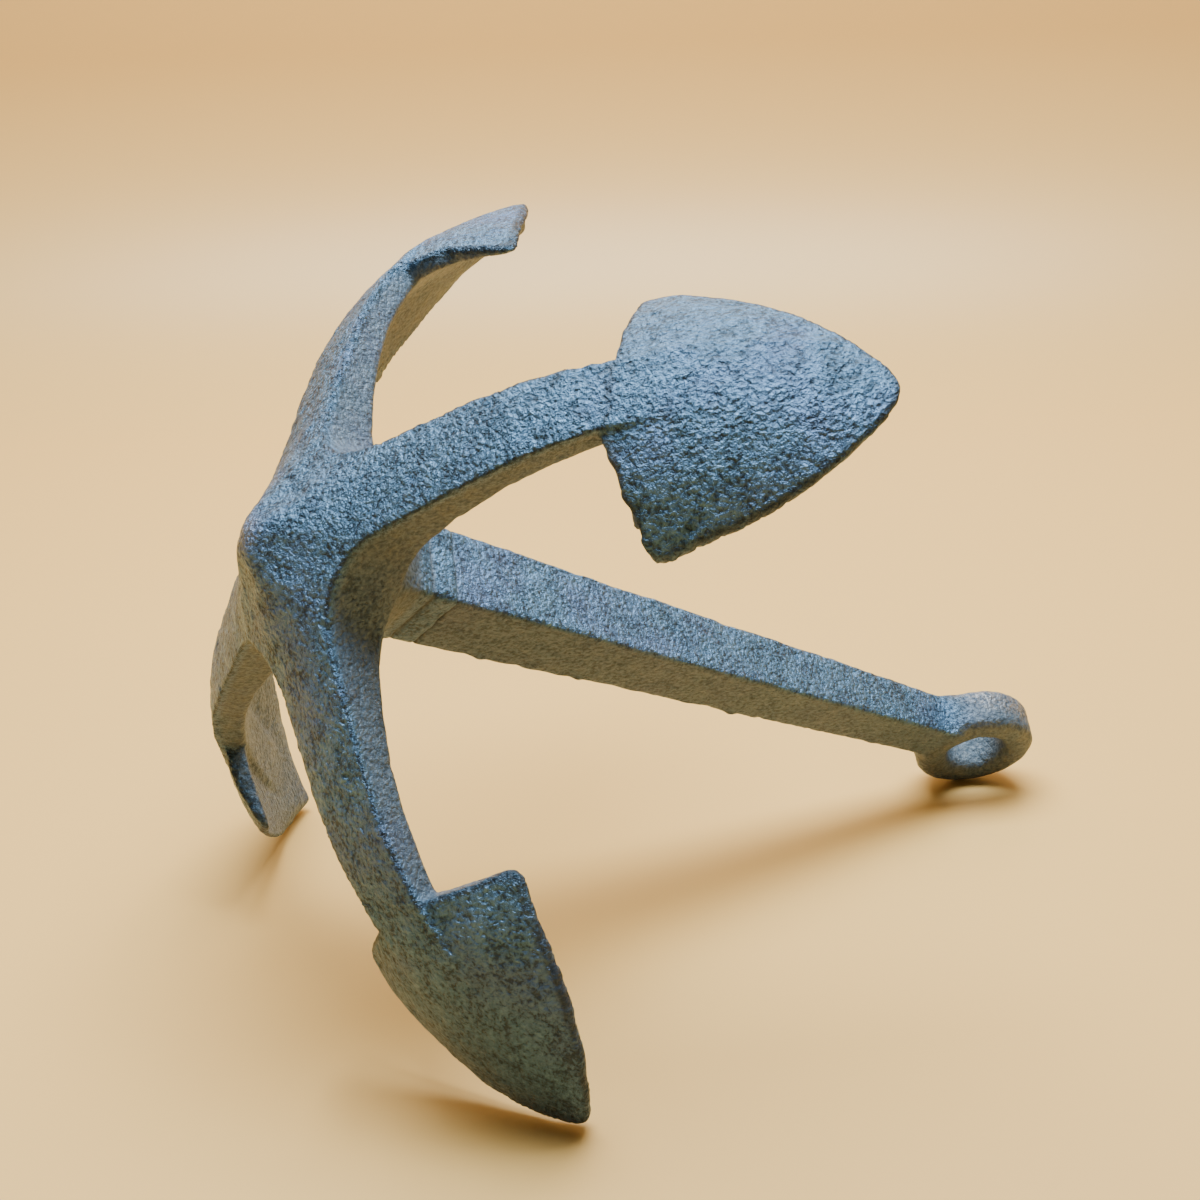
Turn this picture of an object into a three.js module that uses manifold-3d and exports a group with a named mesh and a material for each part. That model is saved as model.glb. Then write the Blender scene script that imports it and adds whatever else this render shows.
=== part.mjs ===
// Small four-fluke grapnel anchor in cast iron, lying at rest on two fluke tips and its eye.
// It is two castings: the crown with its four arms and flukes, and the square shank with its eye,
// whose round tang is screwed into a blind socket in the crown's boss.
// Millimetres, +Z up. The shank runs towards +X; the crown's nose is the lowest-X end of the axis.

import * as THREE from 'three';
import { mergeVertices } from 'three/addons/utils/BufferGeometryUtils.js';
import Module from 'manifold-3d';

const wasm = await Module();
wasm.setup();

// ---- driving dimensions, in millimetres and degrees

const LENGTH = 215;                 // nose of the crown to the end of the eye
const ARM_AZIMUTHS = [135, 225, 315, 45];   // round the shank, from +Y towards +Z

// Outer line of an arm: (distance from the axis, distance back from the nose).
const ARM_LINE = [[0, 1], [9.5, 8], [27.5, 15], [59, 26], [81, 40.5], [98.5, 60], [107.5, 74.5]];
const ARM_HALF_WIDTH = 10.4;        // at the crown
const NECK_HALF_WIDTH = 7;          // where the fluke begins
const NOSE_HALF_WIDTH = 3.2;
const ARM_DRAFT = 0.86;             // inner width over outer width, from the casting's draft
const NOSE_CROWNING = 3.4;          // rise of the middle of the outer face over its edges
const ARM_CROWNING = 1.1;
const ARM_REACH = 0.94;             // the arm's rib ends inside the fluke, at this share of the line
const ARM_DEPTHS = [[0, 24], [0.14, 20], [0.25, 12], [0.4, 8.4], [0.607, 6.8], [0.8, 6.2], [0.94, 3.6]];

const FLUKE_NECK = 0.607;           // as fractions of the arm's length
const FLUKE_SHOULDER = 0.65;
// Half width of a blade, and how far its shoulders' corners bend inwards: the upper two are the fuller.
const UPPER_FLUKE = { halfWidth: 29, hollow: 14 };
const LOWER_FLUKE = { halfWidth: 25, hollow: 8.5 };
const FLUKE_FULLNESS = 0.6;
const FLUKE_ROUNDNESS = 0.72;
const FLUKE_END = 0.988;            // the tip is blunt, so the outline stops just short of a point
const FLUKE_THICK_MIDDLE = 4.6;
const FLUKE_THICK_EDGE = 3.6;

const CROTCH_RADIUS = 16;           // concave corner between two arms
const HUB_END = 30;
const HUB_CONE = [[0, 3], [8, 9.5], [15, 14], [22, 17.5], [34, 21]];
const BOSS_LINE = [[21, 24], [19, 28], [15.6, 33], [13.6, 37.5], [12.8, 41.5], [12.6, 44.7]];

const SHANK_START = 45;
const SHANK_ROOT_SIDE = 17.6;
const SHANK_END_SIDE = 10.6;
const SHANK_EDGE = 0.9;             // chamfer on the four long edges
const SHANK_TURN = -5;              // the screwed joint stopped this far off the arms' directions
const TANG_RADIUS = 5;
const TANG_LENGTH = 18;
const JOINT_GAP = 0.3;

const EYE_OUTER_RADIUS = 14.3;
const EYE_HOLE_RADIUS = 7.2;
const EYE_THICKNESS = 11;
const EYE_EDGE = 2.6;               // rounding of the eye's rim and of the mouth of its hole
const EYE_OVERLAP = 3;              // how far the bar runs into the ring

const FIRST_TILT = 22;              // settling starts from this dip of the shank, in degrees
const SETTLING_ROUNDS = 12;

// ---- helpers

const radians = THREE.MathUtils.degToRad;

function signedVolume(points, triangles) {
  const [a, b, c] = [new THREE.Vector3(), new THREE.Vector3(), new THREE.Vector3()];
  let sum = 0;
  for (let i = 0; i < triangles.length; i += 3) {
    a.fromArray(points, 3 * triangles[i]);
    b.fromArray(points, 3 * triangles[i + 1]);
    c.fromArray(points, 3 * triangles[i + 2]);
    sum += a.dot(b.cross(c));
  }
  return sum / 6;
}

// A three.js geometry as a solid that can be joined and cut.
function solid(geometry) {
  geometry.deleteAttribute('normal');
  geometry.deleteAttribute('uv');
  const merged = mergeVertices(geometry, 1e-4);
  const vertProperties = Float32Array.from(merged.attributes.position.array);
  const triVerts = Uint32Array.from(merged.index.array);
  if (signedVolume(vertProperties, triVerts) < 0) triVerts.reverse();
  return new wasm.Manifold(new wasm.Mesh({ numProp: 3, vertProperties, triVerts }));
}

// The skin of a unit box with every point moved by place(x, y, z), where x, y and z run from 0 to 1.
function shapedBox(nx, ny, nz, place) {
  const geometry = new THREE.BoxGeometry(1, 1, 1, nx, ny, nz);
  const position = geometry.attributes.position;
  const point = new THREE.Vector3();
  for (let i = 0; i < position.count; i += 1) {
    point.fromBufferAttribute(position, i).addScalar(0.5);
    const placed = place(point.x, point.y, point.z);
    position.setXYZ(i, placed.x, placed.y, placed.z);
  }
  return solid(geometry);
}

// A turned body on the shank's axis; line holds (radius, distance back from the nose).
function turned(line, segments) {
  const profile = line.map(([radius, back]) => new THREE.Vector2(radius, back));
  return solid(new THREE.LatheGeometry(profile, segments).rotateZ(-Math.PI / 2));
}

function joined(bodies) {
  return bodies.reduce((whole, body) => whole.add(body));
}

// Reads a value along a short list of [position, value] pairs, with straight lines between them.
function along(list, t) {
  const next = list.findIndex(([position]) => position > t);
  if (next < 0) return list[list.length - 1][1];
  if (next === 0) return list[0][1];
  const [t0, v0] = list[next - 1];
  const [t1, v1] = list[next];
  return v0 + ((v1 - v0) * (t - t0)) / (t1 - t0);
}

function toMesh(name, body, colour) {
  const { vertProperties, triVerts } = body.getMesh();
  const geometry = new THREE.BufferGeometry();
  geometry.setAttribute('position', new THREE.BufferAttribute(Float32Array.from(vertProperties), 3));
  geometry.setIndex(new THREE.BufferAttribute(Uint32Array.from(triVerts), 1));
  geometry.computeVertexNormals();
  const material = new THREE.MeshStandardMaterial({ color: colour, roughness: 0.72, metalness: 0.35 });
  const mesh = new THREE.Mesh(geometry, material);
  mesh.name = name;
  return mesh;
}

// ---- crown, arms and flukes

const armLine = new THREE.SplineCurve(ARM_LINE.map(([r, s]) => new THREE.Vector2(r, s)));

// A point of an arm: t along its outer line, aside across it, depth in from the outer line.
function armPoint(azimuth, t, aside, depth) {
  const line = armLine.getPointAt(t);
  const tangent = armLine.getTangentAt(t);
  const radius = line.x - depth * tangent.y;
  const back = line.y + depth * tangent.x;
  const [c, s] = [Math.cos(radians(azimuth)), Math.sin(radians(azimuth))];
  return new THREE.Vector3(back, radius * c - aside * s, radius * s + aside * c);
}

function armHalfWidth(t) {
  const opening = THREE.MathUtils.smoothstep(t, 0, 0.14);
  const root = THREE.MathUtils.lerp(NOSE_HALF_WIDTH, ARM_HALF_WIDTH, opening);
  const taper = THREE.MathUtils.clamp((t - 0.14) / (FLUKE_NECK - 0.14), 0, 1);
  return THREE.MathUtils.lerp(root, NECK_HALF_WIDTH, taper) * (t > 0.8 ? 1 - 2.2 * (t - 0.8) : 1);
}

function arm(azimuth) {
  return shapedBox(26, 4, 2, (x, y, z) => {
    const t = ARM_REACH * x;
    const side = 2 * y - 1;
    const fade = THREE.MathUtils.smoothstep(t, 0.02, 0.24);
    const crowning = THREE.MathUtils.lerp(NOSE_CROWNING, ARM_CROWNING, fade) * side * side;
    const halfWidth = armHalfWidth(t) * THREE.MathUtils.lerp(1, ARM_DRAFT, z);
    const outer = crowning + 0.4 * THREE.MathUtils.smoothstep(t, FLUKE_NECK, FLUKE_SHOULDER);
    return armPoint(azimuth, t, side * halfWidth, THREE.MathUtils.lerp(outer, along(ARM_DEPTHS, t), z));
  });
}

function fluke(azimuth) {
  const { halfWidth, hollow } = azimuth < 180 ? UPPER_FLUKE : LOWER_FLUKE;
  return shapedBox(14, 10, 1, (x, y, z) => {
    const side = 2 * y - 1;
    const v = FLUKE_END * (1 - (1 - x) ** 1.5);
    const outline = (1 - v) ** FLUKE_ROUNDNESS * (1 + FLUKE_FULLNESS * v);
    const start = THREE.MathUtils.lerp(FLUKE_NECK, FLUKE_SHOULDER, Math.abs(side));
    const t = start + (1 - start) * v;
    const spread = side * outline;
    const bend = hollow * spread * spread;
    const thickness = THREE.MathUtils.lerp(FLUKE_THICK_MIDDLE, FLUKE_THICK_EDGE, side * side);
    return armPoint(azimuth, t, halfWidth * spread, bend + thickness * z);
  });
}

// The web between the arms: a four-pointed post with concave sides, cut to a cone that slopes to the nose.
function hub() {
  const tip = ARM_HALF_WIDTH - 0.4;
  const corner = tip + CROTCH_RADIUS;
  const shape = new THREE.Shape();
  for (let quarter = 0; quarter < 4; quarter += 1) {
    const turn = (quarter * Math.PI) / 2;
    const [c, s] = [Math.cos(turn), Math.sin(turn)];
    const start = [corner * c + tip * s, corner * s - tip * c];
    const centre = [corner * (c - s), corner * (s + c)];
    if (quarter === 0) shape.moveTo(...start);
    else shape.lineTo(...start);
    shape.absarc(...centre, CROTCH_RADIUS, turn - Math.PI / 2, turn - Math.PI, true);
  }
  const options = { depth: HUB_END, bevelEnabled: false, curveSegments: 9 };
  const post = new THREE.ExtrudeGeometry(shape, options).rotateZ(Math.PI / 4).rotateY(Math.PI / 2);
  const reach = HUB_CONE[HUB_CONE.length - 1][0];
  const limits = turned([...HUB_CONE, [reach, HUB_END + 1], [0, HUB_END + 1]], 32);
  return solid(post).intersect(limits);
}

function socket() {
  const radius = TANG_RADIUS + JOINT_GAP;
  const depth = SHANK_START - TANG_LENGTH - JOINT_GAP;
  return turned([[0, depth], [radius, depth], [radius, LENGTH], [0, LENGTH]], 24);
}

function crown() {
  const boss = turned([[0, BOSS_LINE[0][1]], ...BOSS_LINE, [0, SHANK_START - JOINT_GAP]], 32);
  const casting = joined([...ARM_AZIMUTHS.map(arm), ...ARM_AZIMUTHS.map(fluke), hub(), boss]);
  return casting.subtract(socket());
}

// ---- shank and eye

// A square section that tapers evenly, with narrow chamfers on its four long edges.
function shankBar() {
  const end = LENGTH - 2 * EYE_OUTER_RADIUS + EYE_OVERLAP;
  const flat = 1 - (2 * SHANK_EDGE) / SHANK_ROOT_SIDE;
  const spread = (value) => Math.sign(value) * Math.min(1, Math.abs(value) * 3 * flat);
  return shapedBox(10, 3, 3, (x, y, z) => {
    const [a, b] = [2 * y - 1, 2 * z - 1];
    const half = THREE.MathUtils.lerp(SHANK_ROOT_SIDE, SHANK_END_SIDE, x) / 2;
    const onEdge = Math.min(Math.abs(a), Math.abs(b)) > 0.99;
    const size = onEdge ? (half * (1 + flat)) / 2 : half;
    const back = SHANK_START + (end - SHANK_START) * x;
    return new THREE.Vector3(back, spread(a) * size, spread(b) * size);
  });
}

function eye() {
  const middle = (EYE_OUTER_RADIUS + EYE_HOLE_RADIUS) / 2;
  const reach = (EYE_OUTER_RADIUS - EYE_HOLE_RADIUS) / 2;
  const flat = EYE_THICKNESS / 2 - EYE_EDGE;
  const profile = [];
  const steps = 4;
  [[1, 1, 0], [-1, 1, 90], [-1, -1, 180], [1, -1, 270]].forEach(([across, up, from]) => {
    for (let i = 0; i <= steps; i += 1) {
      const angle = radians(from + (90 * i) / steps);
      const x = middle + across * (reach - EYE_EDGE) + EYE_EDGE * Math.cos(angle);
      profile.push(new THREE.Vector2(x, up * flat + EYE_EDGE * Math.sin(angle)));
    }
  });
  profile.push(profile[0].clone());
  const ring = new THREE.LatheGeometry(profile, 40);
  return solid(ring.translate(LENGTH - EYE_OUTER_RADIUS, 0, 0));
}

function shank() {
  const tang = turned([[0, SHANK_START - TANG_LENGTH], [TANG_RADIUS, SHANK_START - TANG_LENGTH],
    [TANG_RADIUS, SHANK_START + 2], [0, SHANK_START + 2]], 24);
  return joined([shankBar(), eye(), tang]);
}

// ---- the whole anchor, turned to its rest on two fluke tips and the eye

const anchor = new THREE.Group();
anchor.add(toMesh('crown_with_arms', crown(), 0x5d7387));
const shankMesh = toMesh('shank_with_eye', shank(), 0x63737c);
shankMesh.rotation.x = radians(45 + SHANK_TURN);
anchor.add(shankMesh);

// Lowest point of a mesh among those that pass the test, in the resting frame.
function lowestPoint(mesh, test) {
  mesh.updateWorldMatrix(true, false);
  const position = mesh.geometry.attributes.position;
  const lowest = new THREE.Vector3(0, 0, Infinity);
  for (let i = 0; i < position.count; i += 1) {
    const point = new THREE.Vector3().fromBufferAttribute(position, i).applyMatrix4(mesh.matrixWorld);
    if (test(point) && point.z < lowest.z) lowest.copy(point);
  }
  return lowest;
}

function settle() {
  const [crownMesh] = anchor.children;
  anchor.rotation.set(0, radians(FIRST_TILT), 0);
  for (let round = 0; round < SETTLING_ROUNDS; round += 1) {
    const right = lowestPoint(crownMesh, (point) => point.y < 0);
    const left = lowestPoint(crownMesh, (point) => point.y >= 0);
    const rear = lowestPoint(shankMesh, () => true);
    const floor = left.sub(right).cross(rear.sub(right)).normalize();
    if (floor.z < 0) floor.negate();
    const turn = new THREE.Quaternion().setFromUnitVectors(floor, new THREE.Vector3(0, 0, 1));
    anchor.quaternion.premultiply(turn);
  }
  const box = new THREE.Box3().setFromObject(anchor, true);
  const centre = box.getCenter(new THREE.Vector3());
  anchor.position.set(-centre.x, -centre.y, -box.min.z);
}

settle();

export default anchor;
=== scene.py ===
"""Cast iron grapnel anchor, lying at rest: a crown casting with four arms and spade flukes, and a square
shank with an eye. The skin is rough sand casting under worn blue-grey paint."""

import math

import bpy
import numpy as np
from bpy.props import FloatProperty, FloatVectorProperty, PointerProperty
from mathutils import Matrix, Vector


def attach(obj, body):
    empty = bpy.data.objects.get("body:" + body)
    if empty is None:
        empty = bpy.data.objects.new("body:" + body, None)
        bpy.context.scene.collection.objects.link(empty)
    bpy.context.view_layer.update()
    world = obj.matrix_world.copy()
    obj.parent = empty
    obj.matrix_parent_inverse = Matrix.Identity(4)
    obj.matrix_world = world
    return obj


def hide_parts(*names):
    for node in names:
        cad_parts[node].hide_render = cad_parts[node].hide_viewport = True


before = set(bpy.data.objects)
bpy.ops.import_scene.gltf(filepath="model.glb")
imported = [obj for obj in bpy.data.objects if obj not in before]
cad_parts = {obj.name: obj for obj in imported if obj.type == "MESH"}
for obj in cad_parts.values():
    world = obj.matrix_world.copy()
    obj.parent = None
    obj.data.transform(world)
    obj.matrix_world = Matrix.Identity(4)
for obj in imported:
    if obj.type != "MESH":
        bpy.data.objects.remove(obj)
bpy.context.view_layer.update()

bl_info = {
    "name": "Cast iron grapnel anchor",
    "version": (1, 0, 0),
    "blender": (4, 5, 0),
    "location": "3D View > Sidebar > Anchor",
    "description": "Builds a small four-fluke grapnel anchor with a cast, painted and worn skin",
    "category": "Add Mesh",
}

MM = 0.001

# Lengths below are in millimetres. Places along an arm are shares of its outer line, from 0 at the
# nose to 1 at the tip.

# Outer line of an arm: distance from the shank's axis, distance back from the nose.
ARM_LINE = [
    (0, 1.8), (4.5, 3.6), (9.5, 6.6), (17.5, 10.7), (27.5, 15),
    (59, 26), (81, 40.5), (98.5, 60), (107.5, 74.5),
]
# Round the shank in degrees, from +Y towards +Z. Near and far are as the camera sees them.
ARM_AZIMUTHS = {"upper_near": 135, "lower_near": 225, "lower_far": 315, "upper_far": 45}
# Place along an arm, its depth inwards from its outer line.
ARM_DEPTHS = [
    (0, 22), (0.10, 21), (0.17, 17.5), (0.25, 12.2), (0.32, 10),
    (0.4, 8.6), (0.607, 6.8), (0.8, 6), (0.95, 3.4),
]
ARM_END = 0.92          # the arm's rib ends inside the fluke
ARM_DRAFT = 0.085       # how fast an arm narrows inwards
NOSE_FLAT = 2.6         # the nose is worn back to here
HUB_REACH = 22          # an arm's outer face counts this far beside the arm

FLUKE_NECK, FLUKE_SHOULDER, FLUKE_END = 0.607, 0.65, 0.994
FLUKE_ROUNDNESS, FLUKE_FULLNESS = 0.77, 0.5
FLUKE_THICK, EDGE_THINNING, TIP_THINNING = 4.7, 2.5, 0.9
NECK_SINK = 0.9         # the blade starts this far under the arm's outer face
TIP_LEAN = 5.0          # sideways lean of the near upper fluke's tip

# The boss behind the crown, which takes the shank: distance back, radius.
BOSS_LINE = [
    (16, 19.5), (24, 20.5), (27, 18.6), (30, 15.4), (33, 12.4),
    (36, 10.2), (38.5, 9.15), (41, 8.95), (45.2, 8.9),
]
BOSS_START = 16
BOSS_OVERRUN = 0.2
RING_AT = 39.6          # the shallow ring round the boss

SHANK_START = 45.0
SHANK_TURN = 40.0       # of the shank's square from the frame's Y and Z, in degrees
SHANK_EDGE = 1.1
SHANK_RING = 0.2        # the joint's ring stands this far behind the shank's start
EYE_OVERLAP = 4         # how far the bar runs into the eye
EYE_EDGE = 2.8          # rounding of the eye's rim and of its hole
TANG_RADIUS, TANG_FROM, TANG_TO = 5, 27.3, 50

ARM_TO_BLADE, CROWN_TO_BOSS, SHANK_TO_EYE = 0.9, 4.0, 2.6   # fillets

# The sand-cast skin: height, width of its lumps.
SKIN_LUMPS = [(0.22, 14), (0.12, 6), (0.11, 2.6), (0.13, 1.35)]
PIT_DEPTH, PIT_WIDTH = 0.35, 3.4

# Where the nose end of the shank's axis stands in the resting frame, in metres.
NOSE_PLACE = (-0.09780245, 0, 0.10226945)


class AnchorShape(bpy.types.PropertyGroup):
    """Sizes of the anchor."""

    length: FloatProperty(
        name="Length", description="Nose to the end of the eye",
        default=0.215, unit="LENGTH",
    )
    pitch: FloatProperty(
        name="Rest tilt", description="How far the shank dips to its eye",
        default=math.radians(26.164), subtype="ANGLE",
    )
    arm_half_width: FloatProperty(
        name="Arm half width", description="At the crown",
        default=0.0104, unit="LENGTH",
    )
    neck_half_width: FloatProperty(
        name="Neck half width", description="Where the fluke begins",
        default=0.007, unit="LENGTH",
    )
    fluke_half_width: FloatProperty(
        name="Lower fluke half width", description="At the shoulders",
        default=0.025, unit="LENGTH",
    )
    fluke_hollow: FloatProperty(
        name="Lower fluke hollow", description="Bend of its edges",
        default=0.0085, unit="LENGTH",
    )
    upper_half_width: FloatProperty(
        name="Upper fluke half width", description="At the shoulders",
        default=0.029, unit="LENGTH",
    )
    upper_hollow: FloatProperty(
        name="Upper fluke hollow", description="Bend of its edges",
        default=0.014, unit="LENGTH",
    )
    crotch_radius: FloatProperty(
        name="Crotch radius", description="Concave corner between arms",
        default=0.016, unit="LENGTH",
    )
    shank_root: FloatProperty(
        name="Shank root", description="Side of the square at the crown",
        default=0.0176, unit="LENGTH",
    )
    shank_end: FloatProperty(
        name="Shank end", description="Side of the square at the eye",
        default=0.0106, unit="LENGTH",
    )
    eye_radius: FloatProperty(
        name="Eye radius", description="Outer radius of the eye",
        default=0.0143, unit="LENGTH",
    )
    eye_hole: FloatProperty(
        name="Eye hole radius", description="Radius of the eye's hole",
        default=0.0068, unit="LENGTH",
    )
    eye_thickness: FloatProperty(
        name="Eye thickness", description="Across the cheeks",
        default=0.011, unit="LENGTH",
    )
    voxel: FloatProperty(
        name="Skin pitch", description="Edge of the skin's mesh",
        default=0.0008, unit="LENGTH",
    )


class AnchorFinish(bpy.types.PropertyGroup):
    """Colours of the anchor and its setting."""

    paint: FloatVectorProperty(
        name="Paint", description="Blue paint", size=3, subtype="COLOR",
        default=(0.034, 0.098, 0.17),
    )
    pale: FloatVectorProperty(
        name="Pale paint", description="Chalked paint", size=3, subtype="COLOR",
        default=(0.12, 0.25, 0.405),
    )
    violet: FloatVectorProperty(
        name="Violet tinge", description="Heated paint", size=3, subtype="COLOR",
        default=(0.10, 0.14, 0.30),
    )
    iron: FloatVectorProperty(
        name="Iron", description="Dark oxide in hollows", size=3, subtype="COLOR",
        default=(0.012, 0.018, 0.024),
    )
    # The rust and dust colours cover the joint rings and the eye, and also paint shade on inner and
    # downward faces.
    rust_and_shade: FloatVectorProperty(
        name="Rust", description="Thin brown rust", size=3, subtype="COLOR",
        default=(0.054, 0.058, 0.057),
    )
    dust_and_shade: FloatVectorProperty(
        name="Dust", description="Grey-brown film", size=3, subtype="COLOR",
        default=(0.122, 0.142, 0.148),
    )
    rubbed: FloatVectorProperty(
        name="Rubbed iron", description="Bare metal on rubbed places", size=3, subtype="COLOR",
        default=(0.34, 0.33, 0.33),
    )
    floor: FloatVectorProperty(
        name="Floor", description="Plain pale surface", size=3, subtype="COLOR",
        default=(0.84, 0.50, 0.15),
    )


# ---- curves and noise, all on whole arrays


def along(line, t):
    """Straight-line reading of a list of (position, value) at t."""
    x, y = np.array(line, float).T
    return np.interp(t, x, y)


def smooth(low, high, x):
    """0 below low, 1 above high, with a smooth S between."""
    t = np.clip((x - low) / (high - low), 0, 1)
    return t * t * (3 - 2 * t)


def spline(points, samples=600):
    """Catmull-Rom curve through the points, resampled evenly by length.

    Returns the points and the tangents."""
    p = np.array(points, float)
    n = len(p) - 1
    u = np.linspace(0, n, samples * 3)
    i = np.minimum(u.astype(int), n - 1)
    w = (u - i)[:, None]
    p0, p1, p2, p3 = p[np.maximum(i - 1, 0)], p[i], p[i + 1], p[np.minimum(i + 2, n)]
    v0, v1 = (p2 - p0) / 2, (p3 - p1) / 2
    q = (2 * p1 - 2 * p2 + v0 + v1) * w**3 + (-3 * p1 + 3 * p2 - 2 * v0 - v1) * w**2 + v0 * w + p1
    step = np.r_[0, np.cumsum(np.linalg.norm(np.diff(q, axis=0), axis=1))]
    even = np.linspace(0, step[-1], samples)
    q = np.stack([np.interp(even, step, q[:, k]) for k in (0, 1)], 1)
    tangent = np.gradient(q, axis=0)
    return q, tangent / np.linalg.norm(tangent, axis=1)[:, None]


LINE, TANGENT = spline(ARM_LINE)


def hashed(cell, seed):
    """A repeatable number from 0 to 1 for each whole-number cell."""
    x, y, z = (cell[..., k].astype(np.int64) for k in range(3))
    n = (x * 73856093) ^ (y * 19349663) ^ (z * 83492791) ^ (seed * 2654435761)
    n = (n ^ (n >> 13)) * 1274126177
    n = (n ^ (n >> 16)) & 0xFFFFFF
    return n / float(0xFFFFFF)


def noise(points, size, seed):
    """Smooth random field: values on a cubic lattice of the given size, blended between, from -1 to 1."""
    q = points / size
    base = np.floor(q)
    f = q - base
    f = f * f * (3 - 2 * f)
    total = np.zeros(len(points))
    for dx in (0, 1):
        for dy in (0, 1):
            for dz in (0, 1):
                near = [f[:, k] if d else 1 - f[:, k] for k, d in enumerate((dx, dy, dz))]
                total += near[0] * near[1] * near[2] * hashed(base + (dx, dy, dz), seed)
    return 2 * total - 1


# ---- mesh making


def grid_faces(rows, columns):
    """Quads over a rows by columns grid of points."""
    first = np.arange(rows - 1)[:, None] * columns + np.arange(columns - 1)[None]
    return np.stack([first, first + 1, first + columns + 1, first + columns], -1).reshape(-1, 4)


def mesh_object(name, points, faces):
    """A new object in the scene from points in metres and faces."""
    mesh = bpy.data.meshes.new(name)
    mesh.from_pydata(points.tolist(), [], faces)
    mesh.validate()
    obj = bpy.data.objects.new(name, mesh)
    bpy.context.scene.collection.objects.link(obj)
    return obj


def vertices(obj):
    """The points of the object's mesh, in metres."""
    co = np.empty(len(obj.data.vertices) * 3)
    obj.data.vertices.foreach_get("co", co)
    return co.reshape(-1, 3)


def set_vertices(obj, co):
    """Puts the points of the object's mesh at co."""
    obj.data.vertices.foreach_set("co", co.astype(np.float32).ravel())
    obj.data.update()


def normals(obj):
    """The outward directions at the points of the object's mesh."""
    n = np.empty(len(obj.data.vertices) * 3, np.float32)
    obj.data.vertex_normals.foreach_get("vector", n)
    return n.reshape(-1, 3).astype(float)


def relax(obj, weight, rounds):
    """Moves each point towards the mean of its neighbours, by its weight.

    A second move the other way keeps the volume."""
    edges = np.empty(len(obj.data.edges) * 2, np.int64)
    obj.data.edges.foreach_get("vertices", edges)
    a, b = edges.reshape(-1, 2).T
    co = vertices(obj)
    count = np.bincount(np.r_[a, b], minlength=len(co))[:, None]
    for _ in range(rounds):
        for share in (0.6, -0.61):
            sums = [np.bincount(np.r_[a, b], np.r_[co[b, k], co[a, k]], len(co)) for k in range(3)]
            total = np.stack(sums, 1)
            co = co + share * weight[:, None] * (total / count - co)
    set_vertices(obj, co)


def cast_skin(obj, seed, depth=1.0):
    """Adds the sand-cast skin to the mesh: lumps, grains and scattered pits, along the normals."""
    co, n = vertices(obj), normals(obj)
    mm = co / MM
    height = sum(rise * noise(mm, width, seed + k) for k, (rise, width) in enumerate(SKIN_LUMPS))
    pits = noise(mm, PIT_WIDTH, seed + len(SKIN_LUMPS))
    height -= PIT_DEPTH * smooth(0.62, 0.9, pits)
    set_vertices(obj, co + n * (height * depth * MM)[:, None])
    obj.data.polygons.foreach_set("use_smooth", np.ones(len(obj.data.polygons), bool))


# ---- the anchor's own frame: X back from the nose along the axis; turned to rest as the frame's is


def rest_matrix(shape):
    """The turn about Y from the anchor's own axes to the resting frame, and the nose's place in it."""
    c, s = math.cos(shape.pitch), math.sin(shape.pitch)
    return np.array([[c, 0, s], [0, 1, 0], [-s, 0, c]]), np.array(NOSE_PLACE)


def to_rest(points, shape):
    """Turns points in the anchor's own axes to the resting frame, in metres."""
    turn, place = rest_matrix(shape)
    return points @ turn.T + place


def to_own(points, shape):
    """Turns points in the resting frame back to the anchor's own axes, in metres."""
    turn, place = rest_matrix(shape)
    return (points - place) @ turn


def shape_of():
    """The sizes set in the panel."""
    return bpy.context.scene.anchor_shape


def finish_of():
    """The colours set in the panel."""
    return bpy.context.scene.anchor_finish


# ---- exact shapes as fields: negative inside, positive outside, in millimetres


def smooth_min(a, b, k):
    """The smaller of two fields, with a fillet of about k where they meet."""
    h = np.clip(0.5 + 0.5 * (b - a) / k, 0, 1)
    return b + (a - b) * h - k * h * (1 - h)


def smooth_max(a, b, k):
    """The larger of two fields, with a rounding of about k where they meet."""
    return -smooth_min(-a, -b, k)


def round_union(a, b, radius):
    """Two fields as one, with a true arc of the given radius in the corner between them."""
    corner = np.hypot(np.maximum(radius - a, 0), np.maximum(radius - b, 0))
    return np.maximum(radius, np.minimum(a, b)) - corner


class LineReading:
    """Place along the arm's outer line and depth in from it.

    Both are worked out once on a fine grid over the arm's own plane, and read from it."""

    def __init__(self):
        self.step = 0.5
        self.low = np.array([-3.0, -8.0])
        r = np.arange(self.low[0], 125, self.step)
        s = np.arange(self.low[1], 105, self.step)
        grid = np.stack(np.meshgrid(r, s, indexing="ij"), -1)
        flat = grid.reshape(-1, 2)
        every = 3
        sparse = LINE[::every]
        nearest = [
            np.argmin(((q[:, None] - sparse[None]) ** 2).sum(-1), 1)
            for q in np.array_split(flat, 60)
        ]
        nearest = np.concatenate(nearest) * every
        foot, tangent = LINE[nearest], TANGENT[nearest]
        offset = flat - foot
        spacing = np.linalg.norm(LINE[1] - LINE[0])
        self.length = spacing * (len(LINE) - 1)
        t = (nearest * spacing + (offset * tangent).sum(1)) / self.length
        depth = offset[:, 1] * tangent[:, 0] - offset[:, 0] * tangent[:, 1]
        self.table = np.stack([t, depth], -1).reshape(*grid.shape[:2], 2)

    def __call__(self, radial, back):
        """The two readings at distances out from the axis and back from the nose."""
        q = (np.stack([radial, back], -1) - self.low) / self.step
        limit = np.array(self.table.shape[:2]) - 2
        cell = np.clip(np.floor(q).astype(int), 0, limit)
        f = np.clip(q - cell, 0, 1)
        x, y = cell[:, 0], cell[:, 1]
        fx, fy = f[:, :1], f[:, 1:]
        near = self.table[x, y] * (1 - fy) + self.table[x, y + 1] * fy
        far = self.table[x + 1, y] * (1 - fy) + self.table[x + 1, y + 1] * fy
        both = near * (1 - fx) + far * fx
        return both[:, 0], both[:, 1]


READ_LINE = LineReading()


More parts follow.
